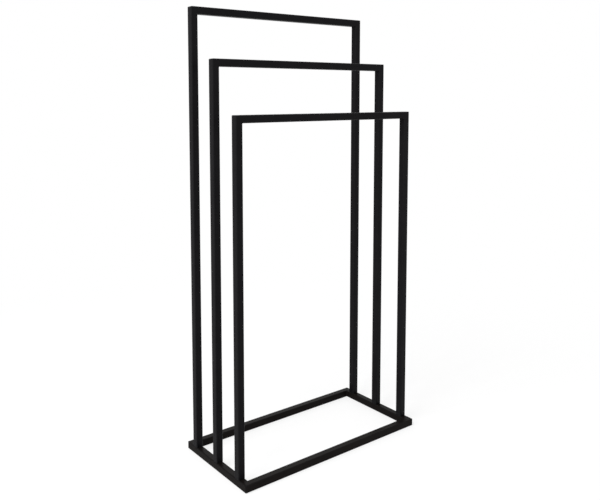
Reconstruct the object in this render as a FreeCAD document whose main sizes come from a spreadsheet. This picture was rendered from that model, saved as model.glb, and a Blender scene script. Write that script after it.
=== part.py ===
"""Freestanding towel stand: three square-tube hoops of falling height on a rectangular tube base.

The base is four rails, mitred and welded. Each hoop is two posts and a top bar, mitred and welded into an
upside-down U, and it stands on the two side rails. A threaded plug is welded into the foot of every post. A
cap screw comes up into it through the side rail, with a lock washer under its head, so the stand packs flat.
The head sits inside the rail, behind an access hole in the rail's underside. Four thin pads stick to the
base's corners.

Frame: millimetres, +Z up, the front is -Y. The origin is on the floor, under the middle of the base.
"""

import FreeCAD
import Part
import Sketcher

import math
import os
import re

# Driving dimensions, in millimetres: each can be set by itself.
SIZES = (
    ("stand_width", 460.0, "outside width of the base and of each hoop"),
    ("stand_height", 913.0, "floor to the top of the rear hoop"),
    ("tier_step", 105.5, "drop from one hoop's top to the next one's"),
    ("hoop_pitch", 75.0, "one hoop to the next, front to back"),
    ("end_gap", 7.5, "clear gap between an outer hoop's posts and the front or rear rail"),
    ("tube_side", 15.0, "square tube, outside"),
    ("tube_wall", 1.0, "square tube, wall"),
    ("edge_radius", 2.0, "square tube, outside radius of its long edges"),
    ("corner_radius", 3.0, "radius that a mitred corner is dressed to"),
    ("floor_pad_diameter", 10.0, "floor pad"),
    ("floor_pad_thickness", 1.0, "floor pad"),
    ("floor_pad_bevel", 0.3, "floor pad, bevel round its underside"),
    ("plug_length", 12.0, "post plug"),
    ("plug_clearance", 0.05, "post plug to the inside of its post, on each side"),
    ("plug_bevel", 0.8, "post plug, lead-in at its upper end"),
    ("screw_diameter", 5.0, "foot screw, thread"),
    ("screw_length", 12.0, "foot screw, under its head"),
    ("screw_tip", 0.6, "foot screw, bevel at its tip"),
    ("head_diameter", 8.5, "foot screw, head"),
    ("head_height", 5.0, "foot screw, head"),
    ("head_bevel", 0.5, "foot screw, bevel round its head"),
    ("socket_flats", 4.0, "foot screw, key socket across its flats"),
    ("socket_depth", 2.5, "foot screw, key socket"),
    ("thread_clearance", 0.05, "foot screw to the plug's thread, radial"),
    ("screw_clearance", 0.25, "foot screw to its hole in the rail and to the inside of its washer, radial"),
    ("washer_rim", 1.85, "lock washer, inside to outside, radial"),
    ("washer_thickness", 1.2, "lock washer"),
    ("washer_split", 1.0, "lock washer, gap where it is split"),
    ("access_clearance", 0.65, "lock washer to the access hole under the rail, radial"),
)

# Dimensions that follow from the driving ones.
WORKED = (
    ("half_width", "stand_width / 2", "middle of the stand to the outside of a side rail"),
    ("half_depth", "hoop_pitch + tube_side * 1.5 + end_gap", "middle of the stand to the front of the base"),
    ("half_tube", "tube_side / 2", "a tube's centre line to its outside"),
    ("tube_inside", "tube_side - 2 * tube_wall", "square tube, inside"),
    ("inside_radius", "max(edge_radius - tube_wall; 0.2)", "square tube, inside radius of its long edges"),
    ("cut_margin", "tube_side / 2", "how far a cutting outline runs past the metal"),
    ("cut_side", "half_tube + cut_margin", "a tube's centre line to the side of a cutting outline"),
    ("mitre_run", "tube_side + cut_margin", "a tube's tip to the inner end of its mitre's cutting line"),
    ("side_rail_x", "half_width - half_tube", "middle of the stand to a side rail's centre line"),
    ("end_rail_y", "half_depth - half_tube", "middle of the stand to an end rail's centre line"),
    ("rail_z", "floor_pad_thickness + half_tube", "floor to the rails' centre lines"),
    ("rail_top", "floor_pad_thickness + tube_side", "floor to the top of the rails, where the posts stand"),
    ("plug_side", "tube_inside - 2 * plug_clearance", "post plug, outside"),
    ("plug_radius", "max(inside_radius; plug_bevel + 0.2)", "post plug, radius of its long edges"),
    ("screw_radius", "screw_diameter / 2", "foot screw, thread"),
    ("tip_radius", "screw_radius - screw_tip", "foot screw, end of its tip"),
    ("tip_start", "screw_length - screw_tip", "foot screw, seat to the start of its tip"),
    ("head_radius", "head_diameter / 2", "foot screw, head"),
    ("head_face", "head_radius - head_bevel", "foot screw, radius of the flat end of its head"),
    ("head_shoulder", "head_height - head_bevel", "foot screw, seat to the bevel of its head"),
    ("socket_radius", "socket_flats / sqrt(3)", "foot screw, key socket's centre to its corners"),
    ("thread_radius", "screw_radius + thread_clearance", "post plug, threaded bore"),
    ("screw_hole", "screw_radius + screw_clearance", "radius of the screw's hole in a rail and in a washer"),
    ("washer_radius", "screw_hole + washer_rim", "lock washer, outside radius"),
    ("washer_reach", "washer_radius + cut_margin", "lock washer's centre to the far end of its split's cut"),
    ("half_split", "washer_split / 2", "lock washer, middle of its split to the split's side"),
    ("access_hole", "washer_radius + access_clearance", "radius of the access hole in a rail's underside"),
    ("washer_z", "rail_top - tube_wall - washer_thickness", "floor to a washer's underside, a head's seat"),
    ("floor_pad_radius", "floor_pad_diameter / 2", "floor pad"),
    ("floor_pad_face", "floor_pad_radius - floor_pad_bevel", "radius of the floor pad's flat underside"),
)

# Each hoop's name, how many pitches it stands behind the middle, and how many steps it is under the tallest.
HOOPS = (("rear", 1, 0), ("middle", 0, 1), ("front", -1, 2))
SIDES = (("left", -1), ("right", 1))
ENDS = (("front", -1), ("rear", 1))

RIGHTWARD = FreeCAD.Vector(1, 0, 0)
REARWARD = FreeCAD.Vector(0, 1, 0)
UPWARD = FreeCAD.Vector(0, 0, 1)

DRIVING_SHEET, WORKED_SHEET = "Sizes", "Worked"
DRIVING_NAMES = {alias for alias, _, _ in SIZES}
NAME_IN_FORMULA = re.compile(r"\b[a-z]+(?:_[a-z]+)+\b")
START, END, CENTRE = range(1, 4)  # how a sketch numbers the points of a line or an arc
HORIZONTAL_AXIS, VERTICAL_AXIS = range(-1, -3, -1)  # how a sketch numbers its own axes
ORIGIN = (HORIZONTAL_AXIS, START)  # the horizontal axis starts at the sketch's origin
LEAST_CUT = 0.01  # cubic millimetres: a cut that takes less than this has missed
STEP_FOLDER = "parts"

doc = FreeCAD.newDocument("TowelStand")


# --- Sheets ---------------------------------------------------------------------------------------------

def add_sheet(name, rows):
    """A sheet with one row per dimension: its name, its content and its meaning."""
    sheet = doc.addObject("Spreadsheet::Sheet", name)
    for row, (alias, content, meaning) in enumerate(rows, start=1):
        sheet.set(f"A{row}", alias)
        sheet.set(f"B{row}", str(content))
        sheet.set(f"C{row}", meaning)
        sheet.setAlias(f"B{row}", alias)
    return sheet


def worked_rows():
    """The worked dimensions' rows: in a cell, a driving dimension is named with its sheet."""
    def in_cell(name):
        return f"{DRIVING_SHEET}.{name.group()}" if name.group() in DRIVING_NAMES else name.group()
    for alias, formula, meaning in WORKED:
        yield alias, "=" + NAME_IN_FORMULA.sub(in_cell, formula), meaning


def bind(thing, path, formula):
    """Makes a property of an object follow a formula in the dimensions' names."""
    def with_sheet(name):
        return f"{DRIVING_SHEET if name.group() in DRIVING_NAMES else WORKED_SHEET}.{name.group()}"
    thing.setExpression(path, NAME_IN_FORMULA.sub(with_sheet, formula))


def size(alias):
    """The value of a dimension in either sheet."""
    sheet = driving_sheet if alias in DRIVING_NAMES else worked_sheet
    return float(sheet.get(alias))


driving_sheet = add_sheet(DRIVING_SHEET, SIZES)
worked_sheet = add_sheet(WORKED_SHEET, worked_rows())
doc.recompute()


# --- Sketches -------------------------------------------------------------------------------------------

def origin_plane(body, role):
    return next(feature for feature in body.Origin.OriginFeatures if feature.Role == role)


def add_sketch(body, name, plane):
    """An empty sketch on one of the body's own origin planes."""
    sketch = body.newObject("Sketcher::SketchObject", name)
    sketch.AttachmentSupport = (origin_plane(body, plane), [""])
    sketch.MapMode = "FlatFace"
    return sketch


def constrain(sketch, kind, *where):
    sketch.addConstraint(Sketcher.Constraint(kind, *where))


def dimension(sketch, kind, where, alias):
    """Adds a dimension at the size that is drawn, and makes it follow a named one."""
    index = sketch.addConstraint(Sketcher.Constraint(kind, *where, size(alias)))
    bind(sketch, f"Constraints[{index}]", alias)


def pin(sketch, shape, point, x, y):
    """Holds a point at two named distances from the origin: -name is on the negative side, 0 on the axis."""
    for kind, distance, axis in (("DistanceX", x, VERTICAL_AXIS), ("DistanceY", y, HORIZONTAL_AXIS)):
        if distance == "0":
            constrain(sketch, "PointOnObject", shape, point, axis)
        elif distance.startswith("-"):
            dimension(sketch, kind, (shape, point, *ORIGIN), distance[1:])
        else:
            dimension(sketch, kind, (*ORIGIN, shape, point), distance)


def signed_size(distance):
    """The value of a distance as pin() takes it."""
    if distance == "0":
        return 0.0
    return -size(distance[1:]) if distance.startswith("-") else size(distance)


def add_chain(sketch, points):
    """Straight lines through the points, each joined to the next."""
    vectors = [FreeCAD.Vector(x, y, 0) for x, y in points]
    lines = [sketch.addGeometry(Part.LineSegment(*ends), False) for ends in zip(vectors, vectors[1:])]
    for line, following in zip(lines, lines[1:]):
        constrain(sketch, "Coincident", line, END, following, START)
    return lines


def add_arc(sketch, centre, radius, first_degrees, last_degrees):
    circle = Part.Circle(FreeCAD.Vector(*centre, 0), UPWARD, radius)
    arc = Part.ArcOfCircle(circle, math.radians(first_degrees), math.radians(last_degrees))
    return sketch.addGeometry(arc, False)


def draw_outline(sketch, corners):
    """A closed outline of straight lines, with every corner pinned."""
    points = [(signed_size(x), signed_size(y)) for x, y in corners]
    lines = add_chain(sketch, points + points[:1])
    constrain(sketch, "Coincident", lines[-1], END, lines[0], START)
    for line, (x, y) in zip(lines, corners):
        pin(sketch, line, START, x, y)


def draw_circle(sketch, radius, x="0"):
    """A circle whose centre is pinned on the sketch's horizontal axis."""
    centre = FreeCAD.Vector(signed_size(x), 0, 0)
    circle = sketch.addGeometry(Part.Circle(centre, UPWARD, size(radius)), False)
    pin(sketch, circle, CENTRE, x, "0")
    dimension(sketch, "Radius", (circle,), radius)


def draw_rounded_square(sketch, side, radius):
    """A square with round corners about the sketch's origin."""
    flat = size(side) / 2
    turn = flat - size(radius)
    sides = []
    corners = []
    for quarter in range(4):
        angle = 90 * quarter
        turned = FreeCAD.Rotation(UPWARD, angle)
        start = turned.multVec(FreeCAD.Vector(flat, -turn, 0))
        end = turned.multVec(FreeCAD.Vector(flat, turn, 0))
        centre = turned.multVec(FreeCAD.Vector(turn, turn, 0))
        sides.append(sketch.addGeometry(Part.LineSegment(start, end), False))
        corners.append(add_arc(sketch, (centre.x, centre.y), size(radius), angle, angle + 90))
    for quarter in range(4):
        constrain(sketch, "Tangent", sides[quarter], END, corners[quarter], START)
        constrain(sketch, "Tangent", corners[quarter], END, sides[(quarter + 1) % 4], START)
        constrain(sketch, "Horizontal" if quarter % 2 else "Vertical", sides[quarter])
    for corner in corners[1:]:
        constrain(sketch, "Equal", corners[0], corner)
    right, top, left, bottom = sides
    constrain(sketch, "Symmetric", corners[0], CENTRE, corners[2], CENTRE, *ORIGIN)
    dimension(sketch, "Radius", (corners[0],), radius)
    dimension(sketch, "DistanceX", (left, START, right, START), side)
    dimension(sketch, "DistanceY", (bottom, START, top, START), side)


def draw_mitre(sketch):
    """What lies past a mitre whose tip is dressed round: the origin is the tip, seen on the centre line."""
    radius = size("corner_radius")
    face = -size("half_tube")
    centre = (-radius, face + radius)
    dressing = add_arc(sketch, centre, radius, 270, 315)
    dressed_tip = sketch.getPoint(dressing, END)
    corners = (
        ("-corner_radius", "-half_tube"), ("-corner_radius", "-cut_side"), ("cut_margin", "-cut_side"),
        ("cut_margin", "cut_side"), ("-mitre_run", "cut_side"))
    points = [(signed_size(x), signed_size(y)) for x, y in corners]
    lines = add_chain(sketch, points + [(dressed_tip.x, dressed_tip.y)])
    for line, (x, y) in zip(lines, corners):
        pin(sketch, line, START, x, y)
    mitre_line = lines[-1]
    constrain(sketch, "Coincident", dressing, START, lines[0], START)
    constrain(sketch, "Coincident", dressing, END, mitre_line, END)
    constrain(sketch, "Vertical", dressing, START, dressing, CENTRE)
    constrain(sketch, "PointOnObject", dressing, CENTRE, mitre_line)
    dimension(sketch, "Radius", (dressing,), "corner_radius")


# --- Bodies and their features --------------------------------------------------------------------------

def add_body(label):
    body = doc.addObject("PartDesign::Body", label)
    body.Label = label
    return body


def place(body, x, y, z, rotation=None):
    """Puts the body's own origin at three formulas."""
    body.Placement = FreeCAD.Placement(FreeCAD.Vector(), rotation or FreeCAD.Rotation())
    for path, formula in (("Placement.Base.x", x), ("Placement.Base.y", y), ("Placement.Base.z", z)):
        if formula != "0":
            bind(body, path, formula)


def add_pad(body, sketch, length, symmetric=False):
    pad = body.newObject("PartDesign::Pad", "Pad")
    pad.Profile = sketch
    pad.SideType = "Symmetric" if symmetric else "One side"
    bind(pad, "Length", length)
    doc.recompute()
    return pad


def add_cut(body, sketch, name, side="One side", upward=False):
    """A pocket through all of the body on one side of its sketch, or on both."""
    volume = body.Shape.Volume
    cut = body.newObject("PartDesign::Pocket", name)
    cut.Profile = sketch
    cut.Type = "ThroughAll"
    cut.SideType = side
    cut.Reversed = upward
    doc.recompute()
    check_cut(cut, volume)
    return cut


def add_turning(body, sketch):
    """The sketch turned once round its own vertical axis."""
    turning = body.newObject("PartDesign::Revolution", "Turning")
    turning.Profile = sketch
    turning.ReferenceAxis = (sketch, ["V_Axis"])
    turning.Angle = 360
    doc.recompute()
    return turning


def check_cut(cut, volume_before):
    """Stops if a cut has taken nothing, as when it points away from the metal."""
    if volume_before - cut.Shape.Volume < LEAST_CUT:
        raise RuntimeError(f"{cut.Name} cuts nothing")


# --- The stand's pieces ---------------------------------------------------------------------------------

def add_tube(label, tip, along, outward, position, centred):
    """A square tube along its own X axis, mitred at its +X tip and, if it is centred, at its -X tip too.

    Its long side, which looks outward on the stand, is its own -Y face. A tube that isn't centred starts
    square at its own origin.
    """
    body = add_body(label)
    profile = add_sketch(body, "Profile", "YZ_Plane")
    draw_rounded_square(profile, "tube_side", "edge_radius")
    draw_rounded_square(profile, "tube_inside", "inside_radius")
    add_pad(body, profile, f"2 * ({tip})" if centred else tip, symmetric=centred)
    outline = add_sketch(body, "MitreOutline", "XY_Plane")
    bind(outline, "AttachmentOffset.Base.x", tip)
    draw_mitre(outline)
    mitre = add_cut(body, outline, "Mitre", side="Symmetric")
    if centred:
        volume = mitre.Shape.Volume
        mirrored = body.newObject("PartDesign::Mirrored", "OtherMitre")
        mirrored.Originals = [mitre]
        mirrored.MirrorPlane = (origin_plane(body, "YZ_Plane"), [""])
        body.Tip = mirrored
        doc.recompute()
        check_cut(mirrored, volume)
    place(body, *position, FreeCAD.Rotation(along, -outward, outward.cross(along), "XYZ"))
    return body


def add_end_rail(name, end):
    outward = REARWARD * end
    along = UPWARD.cross(outward)
    position = ("0", f"{end} * end_rail_y", "rail_z")
    return add_tube(f"base_{name}_rail", "half_width", along, outward, position, centred=True)


def add_side_rail(name, side):
    """A side rail, with a hole for each hoop's screw above and one to reach the screw from below."""
    outward = RIGHTWARD * side
    along = UPWARD.cross(outward)
    position = (f"{side} * side_rail_x", "0", "rail_z")
    rail = add_tube(f"base_{name}_rail", "half_depth", along, outward, position, centred=True)
    for hole, radius, upward in (("ScrewHoles", "screw_hole", True), ("AccessHoles", "access_hole", False)):
        circles = add_sketch(rail, f"{hole}Outline", "XY_Plane")
        for x in ("-hoop_pitch", "0", "hoop_pitch"):
            draw_circle(circles, radius, x)
        add_cut(rail, circles, hole, upward=upward)
    return rail


def add_post(hoop, pitches, steps, name, side):
    position = (f"{side} * side_rail_x", f"{pitches} * hoop_pitch", "rail_top")
    height = f"stand_height - {steps} * tier_step - rail_top"
    return add_tube(f"{hoop}_hoop_{name}_post", height, UPWARD, RIGHTWARD * side, position, centred=False)


def add_top_bar(hoop, pitches, steps):
    position = ("0", f"{pitches} * hoop_pitch", f"stand_height - {steps} * tier_step - half_tube")
    return add_tube(f"{hoop}_hoop_top_bar", "half_width", RIGHTWARD, UPWARD, position, centred=True)


def add_plug(label, x, y):
    """A threaded plug in a post's foot, bevelled round its upper end and at the mouth of its bore."""
    body = add_body(label)
    profile = add_sketch(body, "Profile", "XY_Plane")
    draw_rounded_square(profile, "plug_side", "plug_radius")
    draw_circle(profile, "thread_radius")
    pad = add_pad(body, profile, "plug_length")
    heights = [face.CenterOfMass.z for face in pad.Shape.Faces]
    top_face = heights.index(max(heights)) + 1
    bevel = body.newObject("PartDesign::Chamfer", "Bevel")
    bevel.Base = (pad, [f"Face{top_face}"])
    bind(bevel, "Size", "plug_bevel")
    place(body, x, y, "rail_top")
    return body


def add_screw(label, x, y):
    """A socket head cap screw, head down: its own origin is the middle of the seat under its head."""
    body = add_body(label)
    profile = add_sketch(body, "Profile", "XZ_Plane")
    draw_outline(profile, (
        ("0", "-head_height"), ("head_face", "-head_height"), ("head_radius", "-head_shoulder"),
        ("head_radius", "0"), ("screw_radius", "0"), ("screw_radius", "tip_start"),
        ("tip_radius", "screw_length"), ("0", "screw_length")))
    turning = add_turning(body, profile)
    volume = turning.Shape.Volume
    socket = body.newObject("PartDesign::SubtractivePrism", "KeySocket")
    socket.AttachmentSupport = (origin_plane(body, "XY_Plane"), [""])
    socket.MapMode = "FlatFace"
    socket.Polygon = 6
    bind(socket, "AttachmentOffset.Base.z", "-head_height")
    bind(socket, "Circumradius", "socket_radius")
    bind(socket, "Height", "socket_depth")
    doc.recompute()
    check_cut(socket, volume)
    place(body, x, y, "washer_z")
    return body


def add_washer(label, x, y):
    """A split lock washer, pressed flat."""
    body = add_body(label)
    profile = add_sketch(body, "Profile", "XY_Plane")
    draw_circle(profile, "washer_radius")
    draw_circle(profile, "screw_hole")
    add_pad(body, profile, "washer_thickness")
    split = add_sketch(body, "SplitOutline", "XY_Plane")
    draw_outline(split, (("0", "-half_split"), ("washer_reach", "-half_split"),
                         ("washer_reach", "half_split"), ("0", "half_split")))
    add_cut(body, split, "Split", upward=True)
    place(body, x, y, "washer_z")
    return body


def add_floor_pad(label, x, y):
    body = add_body(label)
    profile = add_sketch(body, "Profile", "XZ_Plane")
    draw_outline(profile, (
        ("0", "0"), ("floor_pad_face", "0"), ("floor_pad_radius", "floor_pad_bevel"),
        ("floor_pad_radius", "floor_pad_thickness"), ("0", "floor_pad_thickness")))
    add_turning(body, profile)
    place(body, x, y, "0")
    return body


def add_group(label, bodies):
    """One node of identical fasteners, each still a solid of its own."""
    group = doc.addObject("Part::Compound", label)
    group.Label = label
    group.Links = bodies
    return group


# --- The whole stand ------------------------------------------------------------------------------------

nodes = [add_end_rail(name, end) for name, end in ENDS]
nodes += [add_side_rail(name, side) for name, side in SIDES]
screws = []
washers = []
for hoop, pitches, steps in HOOPS:
    nodes.append(add_top_bar(hoop, pitches, steps))
    for name, side in SIDES:
        foot = (f"{side} * side_rail_x", f"{pitches} * hoop_pitch")
        nodes.append(add_post(hoop, pitches, steps, name, side))
        nodes.append(add_plug(f"{hoop}_hoop_{name}_plug", *foot))
        screws.append(add_screw(f"{hoop}_{name}_screw", *foot))
        washers.append(add_washer(f"{hoop}_{name}_washer", *foot))
nodes.append(add_group("foot_screws", screws))
nodes.append(add_group("lock_washers", washers))
for end_name, end in ENDS:
    for side_name, side in SIDES:
        label = f"{end_name}_{side_name}_floor_pad"
        nodes.append(add_floor_pad(label, f"{side} * side_rail_x", f"{end} * end_rail_y"))
doc.recompute()


# --- Checks and files -----------------------------------------------------------------------------------

failed = [thing.Name for thing in doc.Objects if {"Invalid", "Error"} & set(thing.State)]
if failed:
    raise RuntimeError(f"did not recompute: {failed}")
for node in nodes:
    if node.Shape.isNull() or not node.Shape.isValid():
        raise RuntimeError(f"{node.Label} has no valid shape")

os.makedirs(STEP_FOLDER, exist_ok=True)
for node in nodes:
    node.Shape.exportStep(f"{STEP_FOLDER}/{node.Label}.step")
    box = node.Shape.BoundBox
    print(f"{node.Label:28} {len(node.Shape.Solids)} solid(s) {node.Shape.Volume:10.1f} mm3  "
          f"{box.XLength:6.1f} x {box.YLength:6.1f} x {box.ZLength:6.1f}  from z {box.ZMin:6.1f}")
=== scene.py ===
# %% [markdown]
# # A freestanding towel stand, dressed for its portrait
#
# The stand is three upside-down U hoops of black powder-coated square tube, each lower than the one behind
# it, on a rectangular base of the same tube. The measured model comes in as a fixed frame: it says where
# every tube, screw and pad is. This script makes each of them again as a clean, dressed mesh in the same
# place, gives it the finish of the real one, and lights it as a plain product photograph.

# %% Load the frame
import math

import bmesh
import bpy
from bmesh.types import BMEdge, BMVert
from mathutils import Matrix, Vector


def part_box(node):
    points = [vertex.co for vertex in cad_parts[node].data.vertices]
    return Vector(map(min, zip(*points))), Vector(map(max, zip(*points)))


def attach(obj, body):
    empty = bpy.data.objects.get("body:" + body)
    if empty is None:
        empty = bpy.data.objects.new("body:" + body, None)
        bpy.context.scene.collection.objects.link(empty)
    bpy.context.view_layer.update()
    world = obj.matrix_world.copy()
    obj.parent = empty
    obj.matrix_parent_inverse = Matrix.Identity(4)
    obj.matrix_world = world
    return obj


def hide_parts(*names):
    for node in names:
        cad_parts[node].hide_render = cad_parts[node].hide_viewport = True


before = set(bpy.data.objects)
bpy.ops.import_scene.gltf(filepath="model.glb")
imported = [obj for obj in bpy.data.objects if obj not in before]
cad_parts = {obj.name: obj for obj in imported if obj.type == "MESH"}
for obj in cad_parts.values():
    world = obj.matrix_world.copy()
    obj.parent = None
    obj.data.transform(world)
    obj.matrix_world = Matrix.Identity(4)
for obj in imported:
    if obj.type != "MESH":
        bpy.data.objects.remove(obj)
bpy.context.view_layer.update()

MM = 0.001                      # the frame is in metres, and a workshop thinks in millimetres

# %% [markdown]
# ## The camera
#
# The photograph is taken from the front left, a little below the middle bar. Its verticals stay nearly
# upright, as they do through the lens of a view camera that is shifted down and hardly tilted. A shift stays
# with the camera when it moves, and a large one would push the top of the stand out of every other view. So
# two thirds of it is kept and the camera looks down by a few degrees more. The numbers come from fitting such
# a camera to 27 edges of the tubes, which are long and straight and so fix it well. The whole shift would
# bring those edges within 0.3 pixels of the photograph's (rms). With two thirds of it they come within 0.7,
# and the worst is 2.3 pixels off, which is the price of the other views.

# %% Camera
PHOTO_WIDTH = 600
PHOTO_HEIGHT = 500
SENSOR_WIDTH = 36.0             # millimetres, a full-frame sensor
FOCAL_PIXELS = 681.7
AXIS_PIXEL = (242.0, 160.0)     # where the lens axis meets the photograph
CAMERA_PLACE = (-0.9279, -1.0890, 0.7261)
CAMERA_AZIMUTH = -35.22         # degrees, 0 looks along +Y
CAMERA_ELEVATION = 4.89         # degrees down
CAMERA_ROLL = -0.41
NEAREST_SEEN = 0.05             # metres


def add_to_scene(name, data):
    """Puts new data in the scene as an object at the origin."""
    thing = bpy.data.objects.new(name, data)
    bpy.context.scene.collection.objects.link(thing)
    return thing


def add_camera():
    """A camera that frames the stand as the photograph does."""
    data = bpy.data.cameras.new("portrait_camera")
    data.sensor_width = SENSOR_WIDTH
    data.lens = FOCAL_PIXELS / PHOTO_WIDTH * SENSOR_WIDTH
    data.shift_x = (PHOTO_WIDTH / 2 - AXIS_PIXEL[0]) / PHOTO_WIDTH
    data.shift_y = (AXIS_PIXEL[1] - PHOTO_HEIGHT / 2) / PHOTO_WIDTH
    data.clip_start = NEAREST_SEEN
    camera = add_to_scene("portrait_camera", data)
    azimuth, elevation = math.radians(CAMERA_AZIMUTH), math.radians(CAMERA_ELEVATION)
    turn = (Matrix.Rotation(azimuth, 4, "Z") @ Matrix.Rotation(math.pi / 2 - elevation, 4, "X")
            @ Matrix.Rotation(math.radians(CAMERA_ROLL), 4, "Z"))
    camera.matrix_world = Matrix.Translation(CAMERA_PLACE) @ turn
    return camera


bpy.context.scene.camera = add_camera()
print("lens", round(bpy.context.scene.camera.data.lens, 2), "mm")

# %% [markdown]
# ## Helpers for finishes
#
# A colour card is read in sRGB, and a shader wants linear light, so one function turns hex colours over. One
# starts an empty finish, and one adds a node with its settings and links in one call, which keeps each
# finish short to read. Every pattern here is a noise on the object's own coordinates. Its values crowd round
# the middle, so a finish stretches that middle part out to the range that it needs.


# %% Colours and nodes
def srgb(hex_colour):
    """A hex colour, as written on a colour card, turned into the linear values that a shader takes."""
    channels = [int(hex_colour[place:place + 2], 16) / 255 for place in (1, 3, 5)]
    return [c / 12.92 if c <= 0.04045 else ((c + 0.055) / 1.055) ** 2.4 for c in channels] + [1.0]


def add_node(tree, kind, settings=None, inputs=None, links=None):
    """Adds one node: its settings, the values of its inputs, and the sockets that feed its inputs."""
    node = tree.nodes.new(kind)
    for name, value in (settings or {}).items():
        setattr(node, name, value)
    for name, value in (inputs or {}).items():
        node.inputs[name].default_value = value
    for name, socket in (links or {}).items():
        tree.links.new(socket, node.inputs[name])
    return node


def new_material(name):
    """An empty node material and its tree."""
    material = bpy.data.materials.new(name)
    material.use_nodes = True
    material.node_tree.nodes.clear()
    return material, material.node_tree


NOISE_SPAN = {"From Min": 0.35, "From Max": 0.65}   # nearly all of a noise lies between these
MIX_SHARE, MIX_FIRST, MIX_SECOND, MIX_RESULT = 0, 6, 7, 2    # a Mix node's sockets where it mixes colours
print("mid grey #808080 is", round(srgb("#808080")[0], 3), "in linear light")

# %% [markdown]
# ## Matt black powder coat
#
# The tubes are mild steel, sprayed with dry polyester powder and baked, so that the powder melts into a skin
# about 0.08 mm thick. It is near black and matt: it takes little light face on, and shines softly where it
# is seen at a low angle, which is why the tops of the rails look lightest. Close up it has the slow waves of
# orange peel, a few millimetres apart, and a fine grain from the powder. On the rounded edges the melt draws
# thin, and handling rubs them a little smoother.
#
# One flat black would look like plastic film, so the colour, the roughness and two depths of bump all come
# from noise at those real sizes. The edges come from an attribute that the tube's maker paints on its mesh.
# The base gets a copy of the coat that is a touch warmer, lighter and less shiny, so one function makes both.
# That copy is painted shade: with less shine and a lighter colour, the sides of the base, which mirror the
# shadowed floor beside it, come out darker, while the tops of its rails stay light.

# %% Powder coat
ORANGE_PEEL = 3.0 * MM          # from wave to wave
PEEL_DEPTH = 0.012 * MM
POWDER_GRAIN = 0.5 * MM         # the real grain is about 0.1 mm, drawn coarser so that close views show it
GRAIN_DEPTH = 0.010 * MM
MOTTLE = 40 * MM                # slow changes of tone along a tube
EDGE_WEAR = "edge_wear"         # 1 on the crown of a tube's rounded edge, 0 on its flats
RUBBED_TONE = "#1c1c1d"
RUBBED_SHARE = 0.5              # of the rubbed tone, on a crown
RUBBED_SHEEN = 0.08             # by how much a crown is less rough
COAT_ROUGHNESS = {"To Min": 0.38, "To Max": 0.46}


def powder_coat(name, dark, light, shine):
    """The baked skin, which runs from its dark tone to its light one; the base's copy is toned as painted
    shade.
    """
    material, tree = new_material(name)
    place = {"Vector": add_node(tree, "ShaderNodeTexCoord").outputs["Object"]}
    mottle = add_node(tree, "ShaderNodeTexNoise", inputs={"Scale": 1 / MOTTLE}, links=place)
    grain = add_node(tree, "ShaderNodeTexNoise", inputs={"Scale": 1 / POWDER_GRAIN, "Detail": 1.0},
                     links=place)
    peel = add_node(tree, "ShaderNodeTexNoise", inputs={"Scale": 1 / ORANGE_PEEL, "Detail": 1.0},
                    links=place)
    share = add_node(tree, "ShaderNodeMapRange", inputs=NOISE_SPAN, links={"Value": mottle.outputs["Fac"]})
    tone = add_node(tree, "ShaderNodeMix", {"data_type": "RGBA"},
                    {MIX_FIRST: srgb(dark), MIX_SECOND: srgb(light)}, {MIX_SHARE: share.outputs["Result"]})
    edge = add_node(tree, "ShaderNodeAttribute", {"attribute_name": EDGE_WEAR})
    rub = add_node(tree, "ShaderNodeMath", {"operation": "MULTIPLY"}, {1: RUBBED_SHARE},
                   {0: edge.outputs["Fac"]})
    rubbed = add_node(tree, "ShaderNodeMix", {"data_type": "RGBA"}, {MIX_SECOND: srgb(RUBBED_TONE)},
                      {MIX_SHARE: rub.outputs[0], MIX_FIRST: tone.outputs[MIX_RESULT]})
    matt = add_node(tree, "ShaderNodeMapRange", inputs=NOISE_SPAN | COAT_ROUGHNESS,
                    links={"Value": grain.outputs["Fac"]})
    worn = add_node(tree, "ShaderNodeMath", {"operation": "MULTIPLY_ADD"}, {1: -RUBBED_SHEEN},
                    {0: edge.outputs["Fac"], 2: matt.outputs["Result"]})
    wave = add_node(tree, "ShaderNodeBump", inputs={"Distance": PEEL_DEPTH},
                    links={"Height": peel.outputs["Fac"]})
    skin = add_node(tree, "ShaderNodeBump", inputs={"Distance": GRAIN_DEPTH},
                    links={"Height": grain.outputs["Fac"], "Normal": wave.outputs["Normal"]})
    shader = add_node(tree, "ShaderNodeBsdfPrincipled", inputs={"Specular IOR Level": shine}, links={
        "Base Color": rubbed.outputs[MIX_RESULT], "Roughness": worn.outputs[0],
        "Normal": skin.outputs["Normal"]})
    add_node(tree, "ShaderNodeOutputMaterial", links={"Surface": shader.outputs["BSDF"]})
    return material


HOOP_COAT = powder_coat("matt_black_powder_coat_cool", "#0f0e10", "#121113", shine=0.05)
# the base's copy is painted shade: lighter and less shiny, so its sides beside the shadowed floor come out
# darker
BASE_COAT_PAINTED_SHADE = powder_coat("matt_black_powder_coat_warm_painted_shade", "#120f0e", "#151211", shine=0.03)
print("powder coat: grain", round(POWDER_GRAIN / MM, 2), "mm, orange peel", round(ORANGE_PEEL / MM, 1), "mm")

# %% [markdown]
# ## Zinc-plated steel and black rubber
#
# Nothing here shows from the front, but the underside is part of the object. The screws, washers and plugs
# are steel with a bright zinc plate, a few thousandths of a millimetre thick, which leaves a pale, slightly
# blue metal with faint clouds where the passivation lay unevenly. The floor pads are die-cut EPDM rubber:
# dull, nearly black, a little dusty in its pores.

# %% Zinc plate and rubber
PLATE_CLOUD = 1.5 * MM
PLATE_GRAIN = 0.15 * MM
PLATE_DEPTH = 0.002 * MM
PLATE_ROUGHNESS = {"To Min": 0.26, "To Max": 0.34}
RUBBER_PORE = 0.4 * MM
PORE_DEPTH = 0.02 * MM
RUBBER_ROUGHNESS = {"To Min": 0.78, "To Max": 0.92}
RUBBER_SHINE = 0.35


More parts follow.
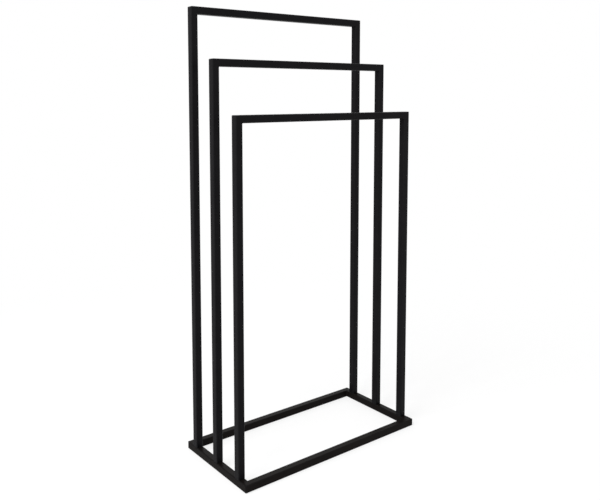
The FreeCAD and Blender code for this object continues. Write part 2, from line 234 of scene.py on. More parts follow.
def zinc_plate():
    """Bright zinc on steel: a metal keeps the default IOR, and its clouds are in colour and roughness."""
    material, tree = new_material("bright_zinc_plated_steel")
    place = {"Vector": add_node(tree, "ShaderNodeTexCoord").outputs["Object"]}
    cloud = add_node(tree, "ShaderNodeTexNoise", inputs={"Scale": 1 / PLATE_CLOUD}, links=place)
    grain = add_node(tree, "ShaderNodeTexNoise", inputs={"Scale": 1 / PLATE_GRAIN}, links=place)
    clouds = {"Value": cloud.outputs["Fac"]}
    share = add_node(tree, "ShaderNodeMapRange", inputs=NOISE_SPAN, links=clouds)
    sheen = add_node(tree, "ShaderNodeMapRange", inputs=NOISE_SPAN | PLATE_ROUGHNESS, links=clouds)
    tone = add_node(tree, "ShaderNodeMix", {"data_type": "RGBA"},
                    {MIX_FIRST: srgb("#bbbec1"), MIX_SECOND: srgb("#c6c8c8")},
                    {MIX_SHARE: share.outputs["Result"]})
    bump = add_node(tree, "ShaderNodeBump", inputs={"Distance": PLATE_DEPTH},
                    links={"Height": grain.outputs["Fac"]})
    shader = add_node(tree, "ShaderNodeBsdfPrincipled", inputs={"Metallic": 1.0}, links={
        "Base Color": tone.outputs[MIX_RESULT], "Roughness": sheen.outputs["Result"],
        "Normal": bump.outputs["Normal"]})
    add_node(tree, "ShaderNodeOutputMaterial", links={"Surface": shader.outputs["BSDF"]})
    return material


def pad_rubber():
    """Die-cut EPDM: a dull black with pores, where dust makes it a little paler."""
    material, tree = new_material("black_epdm_rubber")
    place = {"Vector": add_node(tree, "ShaderNodeTexCoord").outputs["Object"]}
    pores = add_node(tree, "ShaderNodeTexNoise", links=place,
                     inputs={"Scale": 1 / RUBBER_PORE, "Detail": 3.0, "Roughness": 0.6})
    dust = {"Value": pores.outputs["Fac"]}
    share = add_node(tree, "ShaderNodeMapRange", inputs=NOISE_SPAN, links=dust)
    dull = add_node(tree, "ShaderNodeMapRange", inputs=NOISE_SPAN | RUBBER_ROUGHNESS, links=dust)
    tone = add_node(tree, "ShaderNodeMix", {"data_type": "RGBA"},
                    {MIX_FIRST: srgb("#151515"), MIX_SECOND: srgb("#242322")},
                    {MIX_SHARE: share.outputs["Result"]})
    bump = add_node(tree, "ShaderNodeBump", inputs={"Distance": PORE_DEPTH},
                    links={"Height": pores.outputs["Fac"]})
    shader = add_node(tree, "ShaderNodeBsdfPrincipled", inputs={"Specular IOR Level": RUBBER_SHINE}, links={
        "Base Color": tone.outputs[MIX_RESULT], "Roughness": dull.outputs["Result"],
        "Normal": bump.outputs["Normal"]})
    add_node(tree, "ShaderNodeOutputMaterial", links={"Surface": shader.outputs["BSDF"]})
    return material


ZINC = zinc_plate()
RUBBER = pad_rubber()
print("finishes:", ", ".join(finish.name for finish in (HOOP_COAT, BASE_COAT_PAINTED_SHADE, ZINC, RUBBER)))

# %% [markdown]
# ## Finishing a piece
#
# Every piece ends the same way: its doubles are merged, its faces turned outwards, its round parts shaded
# smooth and its real corners kept crisp. A weighted-normals modifier then lets the big flats keep their own
# direction, so that a rounded edge fades into them without the grey smears that plain smooth shading gives
# a long thin tube. Last the piece takes its finish and is tied to the body that it moves with, and the nodes
# that it stands for are hidden.

# %% Finish
CRISP = math.radians(32)        # edges that turn more than this stay crisp
SAME_PLACE = 0.0005 * MM


def finish_piece(bm, name, material, slot, *nodes):
    """Turns a finished bmesh into a piece of the stand."""
    bmesh.ops.remove_doubles(bm, verts=bm.verts[:], dist=SAME_PLACE)
    bmesh.ops.recalc_face_normals(bm, faces=bm.faces[:])
    for face in bm.faces:
        face.smooth = True
    for edge in bm.edges:
        edge.smooth = edge.is_manifold and edge.calc_face_angle() < CRISP
    open_edges = sum(not edge.is_manifold for edge in bm.edges)
    mesh = bpy.data.meshes.new(name)
    bm.to_mesh(mesh)
    bm.free()
    mesh.materials.append(material)
    piece = add_to_scene(name, mesh)
    weighted = piece.modifiers.new("flat_faces_stay_flat", "WEIGHTED_NORMAL")
    weighted.keep_sharp = True
    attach(piece, "root")
    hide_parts(*nodes)
    print(f"{name}: {len(mesh.polygons)} faces, {open_edges} open edges")


print("edges that turn more than", round(math.degrees(CRISP)), "degrees stay crisp")

# %% [markdown]
# ## Square tube
#
# The stand is made of one stock: 15 mm square steel tube with a 1 mm wall and edges rounded to 2 mm by the
# rolls that shaped it. A bmesh draws it as the mill does. A square face gets its four corners rounded, an
# inset leaves the wall as a ring, and an extrusion draws the ring out to length. It could be a box with a
# bevel, but then it would be solid, and the holes under the base look into a real tube.
#
# Each tube is made standing up, with its outward side, the side on the outside of the frame's corner,
# towards +X. So every mitre slopes the same way and is a shear of the end ring: each point slides along the
# tube by as much as it lies outwards. A matrix then lays the finished tube in its place.

# %% Tube stock
TUBE_WALL = 1.0 * MM
EDGE_RADIUS = 2.0 * MM
EDGE_STEPS = 6
TUBE_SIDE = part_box("middle_hoop_left_post")[1][1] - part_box("middle_hoop_left_post")[0][1]
HALF = TUBE_SIDE / 2
print("tube side", round(TUBE_SIDE / MM, 2), "mm, wall", round(TUBE_WALL / MM, 2), "mm")


def only(kind, items):
    """Those of an operator's results that are of one kind, BMVert or BMEdge."""
    return [item for item in items if isinstance(item, kind)]


def everything(bm):
    """All that a mesh holds, as an operator wants it."""
    return bm.verts[:] + bm.edges[:] + bm.faces[:]


def draw_tube(length):
    """A length of tube along +Z. Returns it with the points of its lower and of its upper end."""
    bm = bmesh.new()
    bmesh.ops.create_grid(bm, x_segments=1, y_segments=1, size=HALF)
    bmesh.ops.bevel(bm, geom=bm.verts[:], offset=EDGE_RADIUS, segments=EDGE_STEPS, profile=0.5,
                    affect="VERTICES", material=-1)
    bore = bm.faces[:]
    bmesh.ops.inset_region(bm, faces=bore, thickness=TUBE_WALL, use_boundary=True, use_even_offset=True)
    bmesh.ops.delete(bm, geom=bore, context="FACES")
    lower = bm.verts[:]
    drawn = bmesh.ops.extrude_face_region(bm, geom=bm.faces[:])
    upper = only(BMVert, drawn["geom"])
    bmesh.ops.translate(bm, vec=(0, 0, length), verts=upper)
    return bm, lower, upper


def cut_mitre(bm, end, slope):
    """Saws an end at 45 degrees: slope is 1 at the upper end and -1 at the lower one."""
    shear = Matrix.Identity(4)
    shear[2][0] = slope
    bmesh.ops.transform(bm, matrix=shear, verts=end)


# %% [markdown]
# ## Dressed corners
#
# A welder closes each mitre, grinds the bead flush and rounds the sharp outer corner to 3 mm. The corners in
# the photograph look rounder still, but the bore of a 1 mm wall would open at about 3.4 mm. A file rounds a
# corner with flat strokes at steps of angle, and so does the script: each stroke is a plane that cuts the
# corner off, and the cut is filled. Only half of the corner belongs to each tube, so each gets half of the
# strokes, and the two halves meet on the mitre.

# %% Dressed corners
CORNER_RADIUS = 3.0 * MM
FILE_STROKES = 4                # on each tube's half of the corner
print("outer corners dressed to", round(CORNER_RADIUS / MM, 2), "mm")


def dress_corner(bm, height, up):
    """Rounds the outer corner of a mitred end, whose centre line ends at that height. up is 1 or -1."""
    centre = Vector((HALF - CORNER_RADIUS, 0, height + up * (HALF - CORNER_RADIUS)))
    for stroke in range(FILE_STROKES):
        angle = math.radians(45) * (stroke + 0.5) / FILE_STROKES
        away = Vector((math.cos(angle), 0, up * math.sin(angle)))
        cut = bmesh.ops.bisect_plane(bm, geom=everything(bm), plane_co=centre + away * CORNER_RADIUS,
                                     plane_no=away, clear_outer=True)
        bmesh.ops.edgeloop_fill(bm, edges=only(BMEdge, cut["geom_cut"]))


def paint_edges(bm):
    """Marks the crown of each rounded edge, where the coat is thin and hands rub it."""
    layer = bm.verts.layers.float.new(EDGE_WEAR)
    crown = EDGE_RADIUS * math.sqrt(0.5)
    for vert in bm.verts:
        depth = min(abs(vert.co.x), abs(vert.co.y)) - (HALF - EDGE_RADIUS)
        vert[layer] = min(max(depth / crown, 0), 1)


def tube_place(foot, outward, along):
    """The matrix that lays a tube with its lower end at foot, its top along and its +X side outward."""
    place = Matrix((outward, along.cross(outward), along)).transposed().to_4x4()
    place.translation = foot
    return place


# %% [markdown]
# ## One tube
#
# All thirteen tubes of the stand are cut from the same stock, so one maker serves them all. It draws a tube
# to length, saws and dresses its ends, marks its worn edges and lays it between two points of its centre
# line. Both ends are mitred, except on a post: its foot stands on a side rail, so it is sawn square and
# lightly deburred, which leaves the fine line at the joint. A place and an angle could be typed for each
# tube instead, but two tubes that share a point are sure to meet in their mitre.

# %% One tube
BURR = 0.3 * MM                 # the file's touch on the edge of a sawn foot
BURR_STEPS = 2
RIGHT, BACK, UP = Vector((1, 0, 0)), Vector((0, 1, 0)), Vector((0, 0, 1))
print("sawn feet deburred by", round(BURR / MM, 2), "mm")


def node_middle(node):
    """The middle of a node's box."""
    low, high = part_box(node)
    return (Vector(low) + Vector(high)) / 2


def on_outer_skin(point):
    """Whether a point of a tube's wall is on its outside, told by how far it is from the square core."""
    core = HALF - EDGE_RADIUS
    distance = math.hypot(max(abs(point.x) - core, 0), max(abs(point.y) - core, 0))
    return distance > EDGE_RADIUS - TUBE_WALL / 2


def foot_rim(bm):
    """The edges that run around the outer skin at the tube's lower end."""
    return [edge for edge in bm.edges
            if all(vert.co.z < SAME_PLACE and on_outer_skin(vert.co) for vert in edge.verts)]


def make_tube(start, end, outward, foot_mitred=True):
    """One tube between two points of its centre line, its top mitred and its foot mitred or square."""
    length = (end - start).length
    bm, lower, upper = draw_tube(length)
    if foot_mitred:
        cut_mitre(bm, lower, -1)
    else:
        bmesh.ops.bevel(bm, geom=foot_rim(bm), offset=BURR, segments=BURR_STEPS, profile=0.5,
                        affect="EDGES", material=-1)
    cut_mitre(bm, [vert for vert in upper if vert.is_valid], 1)
    dress_corner(bm, length, 1)
    if foot_mitred:
        dress_corner(bm, 0, -1)
    paint_edges(bm)
    place = tube_place(start, outward, (end - start).normalized())
    bmesh.ops.transform(bm, matrix=place, verts=bm.verts[:])
    return bm


# %% [markdown]
# ## Weld fillets
#
# The grinder can't reach into the inner corner of a mitre, so a small fillet of weld is left there, with the
# ripples of the torch still in it under the coat. It starts as one slice of the fillet. The slice is drawn
# across the tube a ripple at a time, and each new slice is a little larger or smaller than the last.

# %% Weld fillets
FILLET_LEG = 2.0 * MM           # how far the weld reaches along each tube
FILLET_SINK = 0.3 * MM          # how far it goes into them
FILLET_STEPS = 5
FILLET_HOLLOW = 0.26            # 0.29 would be flat across, so this is a little proud
RIPPLE = 0.5 * MM               # half the distance from ripple to ripple
RIPPLE_SWELL = (1.0, 0.88)
FILLET_END = 0.6                # the first and last slices are smaller, where the torch starts and stops
print("weld fillets", round(FILLET_LEG / MM, 2), "mm, a ripple every", round(2 * RIPPLE / MM, 2), "mm")


def grow_rim(bm, rim, factor, climb):
    """Draws a closed rim of edges on into a new one, scaled about the Z axis and moved along it."""
    drawn = bmesh.ops.extrude_edge_only(bm, edges=rim)
    verts = only(BMVert, drawn["geom"])
    bmesh.ops.scale(bm, vec=(factor, factor, 1), verts=verts)
    bmesh.ops.translate(bm, vec=(0, 0, climb), verts=verts)
    return [edge for edge in only(BMEdge, drawn["geom"]) if all(vert in verts for vert in edge.verts)]


def add_fillet(bm, corner, first, second):
    """A weld in the inner corner of a mitre. first and second point away from the corner along the tubes."""
    others = set(bm.verts)
    width = TUBE_SIDE - 2 * EDGE_RADIUS
    slices = round(width / RIPPLE)
    outline = [bm.verts.new((0, 0, -width / 2))]
    for step in range(FILLET_STEPS + 1):
        angle = math.radians(90) * step / FILLET_STEPS
        reach = (FILLET_LEG + FILLET_SINK) * (1 - FILLET_HOLLOW * math.sin(2 * angle)) * FILLET_END
        outline.append(bm.verts.new((math.cos(angle) * reach, math.sin(angle) * reach, -width / 2)))
    rim = [bm.edges.new(pair) for pair in zip(outline, outline[1:] + outline[:1])]
    bmesh.ops.edgeloop_fill(bm, edges=rim)
    size = FILLET_END
    for number in range(1, slices + 1):
        wanted = FILLET_END if number == slices else RIPPLE_SWELL[number % 2]
        rim = grow_rim(bm, rim, wanted / size, RIPPLE)
        size = wanted
    bmesh.ops.edgeloop_fill(bm, edges=rim)
    place = Matrix((first, second, first.cross(second))).transposed().to_4x4()
    place.translation = corner - (first + second) * FILLET_SINK
    bmesh.ops.transform(bm, matrix=place, verts=[vert for vert in bm.verts if vert not in others])


# %% [markdown]
# ## The hoops
#
# Each hoop is two posts and a bar across their tops, mitred and welded. The three differ only in height and
# place, so a loop makes them. Their centre lines come from the boxes of the frame's nodes, so nothing is
# placed by eye. The two welds are part of the bar, because each piece here stands for one whole node.

# %% Hoops
HOOPS = ("rear_hoop", "middle_hoop", "front_hoop")

for hoop in HOOPS:
    bar = f"{hoop}_top_bar"
    corners = {}
    for side, outward in (("left", -RIGHT), ("right", RIGHT)):
        post = f"{hoop}_{side}_post"
        foot = node_middle(post)
        foot.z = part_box(post)[0][2]
        corners[side] = Vector((foot.x, foot.y, node_middle(bar).z))
        bm = make_tube(foot, corners[side], outward, foot_mitred=False)
        finish_piece(bm, f"{post}_dressed", HOOP_COAT, "powder_coat", post)
    bm = make_tube(corners["left"], corners["right"], UP)
    for side, inward in (("left", RIGHT), ("right", -RIGHT)):
        add_fillet(bm, corners[side] + (inward - UP) * HALF, inward, -UP)
    finish_piece(bm, f"{bar}_dressed", HOOP_COAT, "powder_coat", bar)

# %% [markdown]
# ## Drilled rails
#
# Each side rail of the base is drilled six times: a clearance hole in its upper wall under each post, and a
# wide hole in its lower wall below that, which lets a socket screw and its driver in. A boolean would cut
# these holes, but it leaves long thin faces. Here two planes part off a square of the flat wall, an inset
# gives the square a smaller copy of itself, the points of the copy move out onto a circle, and the copy is
# deleted. That is done to both skins of the wall, and a bridge between the two circles makes the side of the
# hole. What is left is a neat fan of faces around a round hole.

# %% Drilled rails
SCREW_HOLE = 2.75 * MM          # radii
ACCESS_HOLE = 5.25 * MM
HOLE_STEPS = 32
FLAT = TUBE_SIDE - 2 * EDGE_RADIUS   # width of a tube's flat wall between its rounded edges
FIRST_INSET = 0.1 * MM
print("holes", round(2 * SCREW_HOLE / MM, 2), "and", round(2 * ACCESS_HOLE / MM, 2), "mm across")


def nearest_face(bm, point):
    """The face whose middle is nearest to a point."""
    return min(bm.faces, key=lambda face: (face.calc_center_median() - point).length)


def open_skin(bm, centre, radius):
    """Makes a round hole in one skin of a wall, in the square face around the centre."""
    square = nearest_face(bm, centre)
    bmesh.ops.subdivide_edges(bm, edges=square.edges[:], cuts=HOLE_STEPS // 4 - 1)
    square = nearest_face(bm, centre)
    bmesh.ops.inset_individual(bm, faces=[square], thickness=FIRST_INSET, use_even_offset=True)
    step = math.tau / HOLE_STEPS
    for vert in square.verts:
        away = vert.co - centre
        angle = round(math.atan2(away.y, away.x) / step) * step
        vert.co = centre + Vector((math.cos(angle), math.sin(angle), 0)) * radius
    bmesh.ops.delete(bm, geom=[square], context="FACES_ONLY")


def drill_wall(bm, spot, outer, inner, radius):
    """Drills the flat wall between two levels. The planes either side of the hole are already cut."""
    for level in (outer, inner):
        open_skin(bm, Vector((spot.x, spot.y, level)), radius)
    bmesh.ops.bridge_loops(bm, edges=[edge for edge in bm.edges if edge.is_boundary])


def drill_rail(bm, rail, post):
    """The two holes in a side rail below a post."""
    spot = node_middle(post)
    low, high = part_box(rail)
    for way in (-1, 1):
        bmesh.ops.bisect_plane(bm, geom=everything(bm), plane_co=(0, spot.y + way * FLAT / 2, 0),
                               plane_no=BACK)
    drill_wall(bm, spot, high[2], high[2] - TUBE_WALL, SCREW_HOLE)
    drill_wall(bm, spot, low[2], low[2] + TUBE_WALL, ACCESS_HOLE)


# %% [markdown]
# ## The base
#
# Four rails are mitred and welded into a rectangle, which rests on the floor pads. They are made as the
# hoops are, each with its outward side away from the middle of the rectangle. The front and rear rails carry
# the welds, and the side rails are drilled.

# %% Base
middles = {end: node_middle(f"base_{end}_rail") for end in ("front", "rear", "left", "right")}
for end, outward in (("front", -BACK), ("rear", BACK)):
    rail = f"base_{end}_rail"
    left = Vector((middles["left"].x, middles[end].y, middles[end].z))
    right = Vector((middles["right"].x, middles[end].y, middles[end].z))
    bm = make_tube(left, right, outward)
    for corner, inward in ((left, RIGHT), (right, -RIGHT)):
        add_fillet(bm, corner + (inward - outward) * HALF, inward, -outward)
    finish_piece(bm, f"{rail}_dressed", BASE_COAT_PAINTED_SHADE, "powder_coat", rail)
for side, outward in (("left", -RIGHT), ("right", RIGHT)):
    rail = f"base_{side}_rail"
    front = Vector((middles[side].x, middles["front"].y, middles[side].z))
    rear = Vector((middles[side].x, middles["rear"].y, middles[side].z))
    bm = make_tube(front, rear, outward)
    for hoop in reversed(HOOPS):
        drill_rail(bm, rail, f"{hoop}_{side}_post")
    finish_piece(bm, f"{rail}_dressed", BASE_COAT_PAINTED_SHADE, "powder_coat", rail)

# %% [markdown]
# ## A socket screw
#
# Six M5 socket screws hold the hoops down. Each head is turned, knurled on its side so that fingers can start
# it, and has a hexagon pressed into it. The thread is rolled, and a thread is a helix: one tooth of its
# outline is spun round the axis while it climbs by one pitch a turn, and merging the doubles joins each turn
# to the next. Cylinders with a picture of a thread would not survive a close look or a printed copy.

# %% Socket screw
SCREW_RADIUS = 2.5 * MM
PITCH = 0.8 * MM                # M5 coarse
THREAD_DEPTH = 0.49 * MM
ROOT_FLAT, CREST_FLAT = 1 / 4, 1 / 8    # of the pitch. The two flanks share the rest
THREAD_STEPS = 24               # to a turn
RUN_IN = 1.5                    # turns below the lower cut, which are sawn off
SPARE_TURNS = 2                 # in all, so that the upper end is sawn too
BURIED = 0.3 * MM               # how far the thread starts inside the head
HEAD_RADIUS = 4.25 * MM
HEAD_HEIGHT = 5.0 * MM
HEAD_BEVEL = 0.5 * MM
SOCKET_FLATS = 4.0 * MM
SOCKET_DEPTH = 2.5 * MM
DRILL_POINT = 0.6 * MM
KNURLS = 24
KNURL_DEPTH = 0.2 * MM
print("screw", round(2 * SCREW_RADIUS / MM, 2), "mm, pitch", round(PITCH / MM, 2), "mm,", KNURLS, "knurls")


def add_head(bm):
    """The socket head, its open end at the origin and its shoulder above it."""
    around = KNURLS * 2
    bmesh.ops.create_circle(bm, segments=6, radius=SOCKET_FLATS / math.sqrt(3))
    bmesh.ops.subdivide_edges(bm, edges=bm.edges[:], cuts=around // 6 - 1)
    socket = bm.edges[:]
    bmesh.ops.create_circle(bm, segments=around, radius=HEAD_RADIUS - HEAD_BEVEL)
    face_rim = [edge for edge in bm.edges if edge not in socket]
    bmesh.ops.bridge_loops(bm, edges=bm.edges[:])
    wall = grow_rim(bm, socket, 1, SOCKET_DEPTH)
    grow_rim(bm, wall, 0, DRILL_POINT)
    side = grow_rim(bm, face_rim, HEAD_RADIUS / (HEAD_RADIUS - HEAD_BEVEL), HEAD_BEVEL)
    lower = grow_rim(bm, side, 1, KNURL_DEPTH)
    upper = grow_rim(bm, lower, 1, HEAD_HEIGHT - 2 * HEAD_BEVEL - 2 * KNURL_DEPTH)
    knurled = {vert for edge in lower + upper for vert in edge.verts}
    grooves = [vert for vert in knurled
               if round(math.atan2(vert.co.y, vert.co.x) / math.tau * around) % 2]
    shrink = 1 - KNURL_DEPTH / HEAD_RADIUS
    bmesh.ops.scale(bm, vec=(shrink, shrink, 1), verts=grooves)
    drawn = bmesh.ops.extrude_edge_only(bm, edges=upper)
    verts = only(BMVert, drawn["geom"])
    for vert in verts:
        reach = HEAD_RADIUS / vert.co.xy.length
        vert.co = (vert.co.x * reach, vert.co.y * reach, HEAD_HEIGHT - HEAD_BEVEL)
    shoulder = [edge for edge in only(BMEdge, drawn["geom"]) if all(vert in verts for vert in edge.verts)]
    top = grow_rim(bm, shoulder, 1, HEAD_BEVEL)
    bmesh.ops.edgeloop_fill(bm, edges=top)


def add_thread(bm, low, high):
    """A rolled thread between two heights, its ends sawn flat. The lower one is buried in the head."""
    root = SCREW_RADIUS - THREAD_DEPTH
    flank = (1 - ROOT_FLAT - CREST_FLAT) / 2
    tooth = ((root, 0), (root, ROOT_FLAT), (SCREW_RADIUS, ROOT_FLAT + flank), (SCREW_RADIUS, 1 - flank),
             (root, 1))
    turns = math.ceil((high - low) / PITCH) + SPARE_TURNS
    verts = [bm.verts.new((reach, 0, low + (height - RUN_IN) * PITCH)) for reach, height in tooth]
    edges = [bm.edges.new(pair) for pair in zip(verts, verts[1:])]
    before = set(bm.verts) - set(verts)
    bmesh.ops.spin(bm, geom=verts + edges, cent=(0, 0, 0), axis=(0, 0, 1), dvec=(0, 0, PITCH / THREAD_STEPS),
                   angle=math.tau * turns, steps=THREAD_STEPS * turns)
    thread = [vert for vert in bm.verts if vert not in before]
    bmesh.ops.remove_doubles(bm, verts=thread, dist=SAME_PLACE * 2)
    for height, way in ((low, -1), (high, 1)):
        thread = [vert for vert in bm.verts if vert not in before]
        edges = list({edge for vert in thread for edge in vert.link_edges})
        faces = list({face for vert in thread for face in vert.link_faces})
        cut = bmesh.ops.bisect_plane(bm, geom=thread + edges + faces, plane_co=(0, 0, height),
                                     plane_no=(0, 0, way), clear_outer=True)
        bmesh.ops.edgeloop_fill(bm, edges=only(BMEdge, cut["geom_cut"]))


def repeat_at(bm, places):
    """Sets a copy of everything at each place and takes the pattern away."""
    pattern = everything(bm)
    for place in places:
        copy = bmesh.ops.duplicate(bm, geom=pattern)
        bmesh.ops.translate(bm, vec=place, verts=only(BMVert, copy["geom"]))
    bmesh.ops.delete(bm, geom=only(BMVert, pattern), context="VERTS")


# %% [markdown]
# ## The screws in place
#
# A screw goes up through a side rail into the foot of each post. The six are the same, so one is made at the
# origin and copied to each place. They could be six objects, but identical fasteners are one node of the
# frame, so here too they are one piece.

# %% Screws
posts = [f"{hoop}_{side}_post" for hoop in HOOPS for side in ("left", "right")]
screw_low, screw_high = (corner[2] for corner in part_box("foot_screws"))


def spots(height):
    """The point below each post at that height."""
    return [Vector((node_middle(post).x, node_middle(post).y, height)) for post in posts]


bm = bmesh.new()
add_head(bm)
add_thread(bm, HEAD_HEIGHT - BURIED, screw_high - screw_low)
repeat_at(bm, spots(screw_low))
finish_piece(bm, "foot_screws_threaded", ZINC, "zinc_steel", "foot_screws")

# %% [markdown]
# ## Split lock washers
#
# Between each screw's head and the rail sits a split lock washer: a ring of flat spring wire with a gap,
# whose edges bite when the screw is tight. A ring with a piece cut out of it would do, but the section of
# the wire, with its corners eased and spun nearly once round the axis, leaves the gap by itself.

# %% Lock washers
WASHER_BORE = 2.75 * MM         # radii
WASHER_REACH = 4.6 * MM
WASHER_SPLIT = 1.0 * MM
WASHER_EDGE = 0.15 * MM
WASHER_EDGE_STEPS = 2
WASHER_STEPS = 48
washer_low, washer_high = (corner[2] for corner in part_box("lock_washers"))
wire_width, wire_height = WASHER_REACH - WASHER_BORE, washer_high - washer_low

bm = bmesh.new()
bmesh.ops.create_grid(bm, x_segments=1, y_segments=1, size=0.5)
bmesh.ops.scale(bm, vec=(wire_width, wire_height, 1), verts=bm.verts[:])
bmesh.ops.bevel(bm, geom=bm.verts[:], offset=WASHER_EDGE, segments=WASHER_EDGE_STEPS, profile=0.5,
                affect="VERTICES", material=-1)
bmesh.ops.rotate(bm, cent=(0, 0, 0), matrix=Matrix.Rotation(math.radians(90), 3, "X"), verts=bm.verts[:])
bmesh.ops.translate(bm, vec=((WASHER_BORE + WASHER_REACH) / 2, 0, wire_height / 2), verts=bm.verts[:])
split_angle = 2 * math.asin(WASHER_SPLIT / (WASHER_BORE + WASHER_REACH))
bmesh.ops.rotate(bm, cent=(0, 0, 0), matrix=Matrix.Rotation(split_angle / 2, 3, "Z"), verts=bm.verts[:])
bmesh.ops.spin(bm, geom=everything(bm), cent=(0, 0, 0), axis=(0, 0, 1), angle=math.tau - split_angle,
               steps=WASHER_STEPS)
bmesh.ops.holes_fill(bm, edges=[edge for edge in bm.edges if edge.is_boundary])
repeat_at(bm, spots(washer_low))
finish_piece(bm, "lock_washers_split", ZINC, "zinc_steel", "lock_washers")

# %% [markdown]
# ## Threaded plugs
#
# A plug is pressed and welded into the foot of each post, where it takes the screw. It is a block sawn from
# square bar, with its corners eased to fit the tube's inner radius, its ends chamfered and a tapped hole
# through it. The thread itself is left out, because the screw fills the hole. A cube with a cylinder cut out
# of it would be quicker, but a bridge from the outline to the hole gives the ends neat faces to chamfer.

# %% Plugs
PLUG_RADIUS = 0.95 * MM
PLUG_BEVEL = 0.8 * MM
PLUG_BORE = 2.55 * MM
PLUG_SINK = 0.4 * MM            # the countersink at each end of the tapped hole
MIDWAY = 1.5 * PLUG_BORE        # parts the rims of the hole from those of the block

for post in posts:
    plug = post.replace("post", "plug")
    low, high = (Vector(corner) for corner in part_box(plug))
    half = (high.x - low.x) / 2
    bm = bmesh.new()
    bmesh.ops.create_grid(bm, x_segments=1, y_segments=1, size=half)
    bmesh.ops.bevel(bm, geom=bm.verts[:], offset=PLUG_RADIUS, segments=HOLE_STEPS // 4 - 1, profile=0.5,
                    affect="VERTICES", material=-1)
    bmesh.ops.delete(bm, geom=bm.faces[:], context="FACES_ONLY")
    bmesh.ops.create_circle(bm, segments=HOLE_STEPS, radius=PLUG_BORE)
    bmesh.ops.bridge_loops(bm, edges=bm.edges[:])
    drawn = bmesh.ops.extrude_face_region(bm, geom=bm.faces[:])
    upper = only(BMVert, drawn["geom"])
    bmesh.ops.translate(bm, vec=(0, 0, high.z - low.z), verts=upper)
    ends = [edge for edge in bm.edges if len(edge.link_faces) == 2 and edge.calc_face_angle() > CRISP]
    rims = [edge for edge in ends if all(vert.co.xy.length > MIDWAY for vert in edge.verts)]
    sinks = [edge for edge in ends if all(vert.co.xy.length < MIDWAY for vert in edge.verts)]
    bmesh.ops.bevel(bm, geom=rims, offset=PLUG_BEVEL, segments=1, profile=0.5, affect="EDGES", material=-1)
    sinks = [edge for edge in sinks if edge.is_valid]
    bmesh.ops.bevel(bm, geom=sinks, offset=PLUG_SINK, segments=1, profile=0.5, affect="EDGES", material=-1)
    bmesh.ops.translate(bm, vec=((low.x + high.x) / 2, (low.y + high.y) / 2, low.z), verts=bm.verts[:])
    finish_piece(bm, f"{plug}_tapped", ZINC, "zinc_steel", plug)

# %% [markdown]
# ## Floor pads
#
# Four thin rubber discs are stuck under the corners of the base so that the steel doesn't scratch a tiled
# floor. They are die-cut, so their rims are square with a soft edge, and the weight of the stand leaves the
# middle of each a little hollow.

# %% Pads
PAD_STEPS = 48
PAD_EDGE = 0.25 * MM
PAD_EDGE_STEPS = 3
PAD_RIM = 1.2 * MM
PAD_HOLLOW = 0.12 * MM

for end in ("front", "rear"):
    for side in ("left", "right"):
        pad = f"{end}_{side}_floor_pad"
        low, high = (Vector(corner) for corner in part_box(pad))
        radius = (high.y - low.y) / 2
        bm = bmesh.new()
        bmesh.ops.create_cone(bm, cap_ends=True, cap_tris=False, segments=PAD_STEPS, radius1=radius,
                              radius2=radius, depth=high.z - low.z,
                              matrix=Matrix.Translation((low + high) / 2))
        caps = [face for face in bm.faces if len(face.verts) == PAD_STEPS]
        rims = list({edge for face in caps for edge in face.edges})
        bmesh.ops.bevel(bm, geom=rims, offset=PAD_EDGE, segments=PAD_EDGE_STEPS, profile=0.5,
                        affect="EDGES", material=-1)
        under = min(bm.faces, key=lambda face: face.calc_center_median().z)
        bmesh.ops.inset_region(bm, faces=[under], thickness=PAD_RIM, depth=-PAD_HOLLOW)
        finish_piece(bm, f"{pad}_rubber", RUBBER, "pad_rubber", pad)

# %% [markdown]
# ## The floor
#
# The photograph has a pure white ground. Real white paper is a little grey under this light, and it catches
# the shadow of the base, which ties the stand to the ground. So the floor mixes two shaders: the paper, and
# a white glow whose share grows with the distance from the stand until only white is left. The glow is seen
# by the camera and in reflections, but it lights nothing, so the stand is lit by the lamps and the sky alone.

# %% Floor
FLOOR_SIDE = 24.0
SHADOW_REACH = 0.4              # metres from the middle of the base, within which the paper shows most
WHITE_REACH = 1.4               # and beyond which there is only white
NEAR_SHARE = 0.7                # of the glow, beside the stand
NEAR_GLOW = 1.06                # makes up for the grey of the paper there


def seen_directly(tree):
    """1 for rays from the camera, in reflections and through glass, and 0 for those that light things."""
    path = add_node(tree, "ShaderNodeLightPath")
    camera_or_gloss = add_node(tree, "ShaderNodeMath", {"operation": "MAXIMUM"}, links={
        0: path.outputs["Is Camera Ray"], 1: path.outputs["Is Glossy Ray"]})
    return add_node(tree, "ShaderNodeMath", {"operation": "MAXIMUM"}, links={
        0: camera_or_gloss.outputs[0], 1: path.outputs["Is Transmission Ray"]}).outputs[0]


def white_paper():
    """Paper beside the stand, which fades into plain white away from it."""
    material, tree = new_material("white_paper_floor")
    place = add_node(tree, "ShaderNodeTexCoord")
    distance = add_node(tree, "ShaderNodeVectorMath", {"operation": "LENGTH"},
                        links={0: place.outputs["Object"]})
    share, glow = [add_node(tree, "ShaderNodeMapRange", {"interpolation_type": "SMOOTHSTEP"}, {
        "From Min": SHADOW_REACH, "From Max": WHITE_REACH, "To Min": near, "To Max": 1.0},
        {"Value": distance.outputs["Value"]}) for near in (NEAR_SHARE, NEAR_GLOW)]
    shown = add_node(tree, "ShaderNodeMath", {"operation": "MULTIPLY"}, links={
        0: seen_directly(tree), 1: share.outputs["Result"]})
    paper = add_node(tree, "ShaderNodeBsdfDiffuse", inputs={"Color": srgb("#f4f4f4")})
    white = add_node(tree, "ShaderNodeEmission", inputs={"Color": srgb("#ffffff")},
                     links={"Strength": glow.outputs["Result"]})
    mix = add_node(tree, "ShaderNodeMixShader", links={
        0: shown.outputs[0], 1: paper.outputs["BSDF"], 2: white.outputs["Emission"]})
    add_node(tree, "ShaderNodeOutputMaterial", links={"Surface": mix.outputs["Shader"]})
    return material


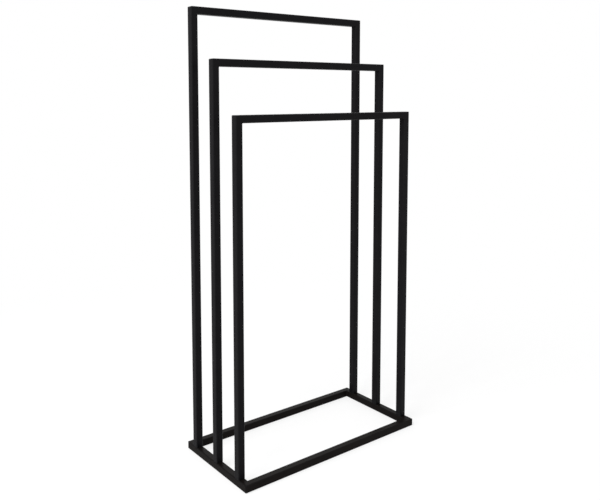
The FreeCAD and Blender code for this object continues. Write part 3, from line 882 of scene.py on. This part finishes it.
bm = bmesh.new()
bmesh.ops.create_grid(bm, x_segments=1, y_segments=1, size=FLOOR_SIDE / 2)
sheet = bpy.data.meshes.new("studio_floor")
bm.to_mesh(sheet)
bm.free()
sheet.materials.append(white_paper())
add_to_scene("studio_floor", sheet)
print("floor", FLOOR_SIDE, "m square")

# %% [markdown]
# ## Light
#
# A white sky lights everything from all sides at a plain level, and to the camera and in reflections it is
# pure white, as the photograph's ground is. Three softboxes shape the tubes. The key stands on the left,
# because the left faces of the posts are the lightest upright faces. A weak fill in front lifts the fronts
# a little, and a weak rim lamp behind and to the right draws the light line along the tops of the rails.

# %% Light
SKY_LIGHT = 0.6
SOFTBOX_SIDE = 1.6
SOFTBOXES = (                   # name, place, the point it is aimed at, power in watts
    ("key_softbox", (-2.2, -0.4, 2.2), (0, 0, 0.4), 70),
    ("fill_softbox", (0.6, -3.0, 1.4), (0, 0, 0.4), 9),
    ("rim_softbox", (1.8, 2.6, 1.7), (0, 0, 0.2), 9),
)


def add_sky():
    """A white world: the plain light level for surfaces, pure white to the eye."""
    sky = bpy.data.worlds.new("white_studio")
    bpy.context.scene.world = sky
    sky.use_nodes = True
    tree = sky.node_tree
    tree.nodes.clear()
    strength = add_node(tree, "ShaderNodeMapRange", inputs={"To Min": SKY_LIGHT, "To Max": 1.0},
                        links={"Value": seen_directly(tree)})
    white = add_node(tree, "ShaderNodeBackground", inputs={"Color": srgb("#ffffff")},
                     links={"Strength": strength.outputs["Result"]})
    add_node(tree, "ShaderNodeOutputWorld", links={"Surface": white.outputs["Background"]})


def add_softbox(name, place, aim, power):
    """A square soft lamp that points at aim."""
    lamp = bpy.data.lights.new(name, "AREA")
    lamp.shape = "SQUARE"
    lamp.size = SOFTBOX_SIDE
    lamp.energy = power
    turn = (Vector(aim) - Vector(place)).to_track_quat("-Z", "Y").to_matrix().to_4x4()
    add_to_scene(name, lamp).matrix_world = Matrix.Translation(place) @ turn


add_sky()
for name, place, aim, power in SOFTBOXES:
    add_softbox(name, place, aim, power)
bpy.context.scene.view_settings.view_transform = "Standard"
print("lamps:", ", ".join(f"{name} {power} W" for name, place, aim, power in SOFTBOXES))
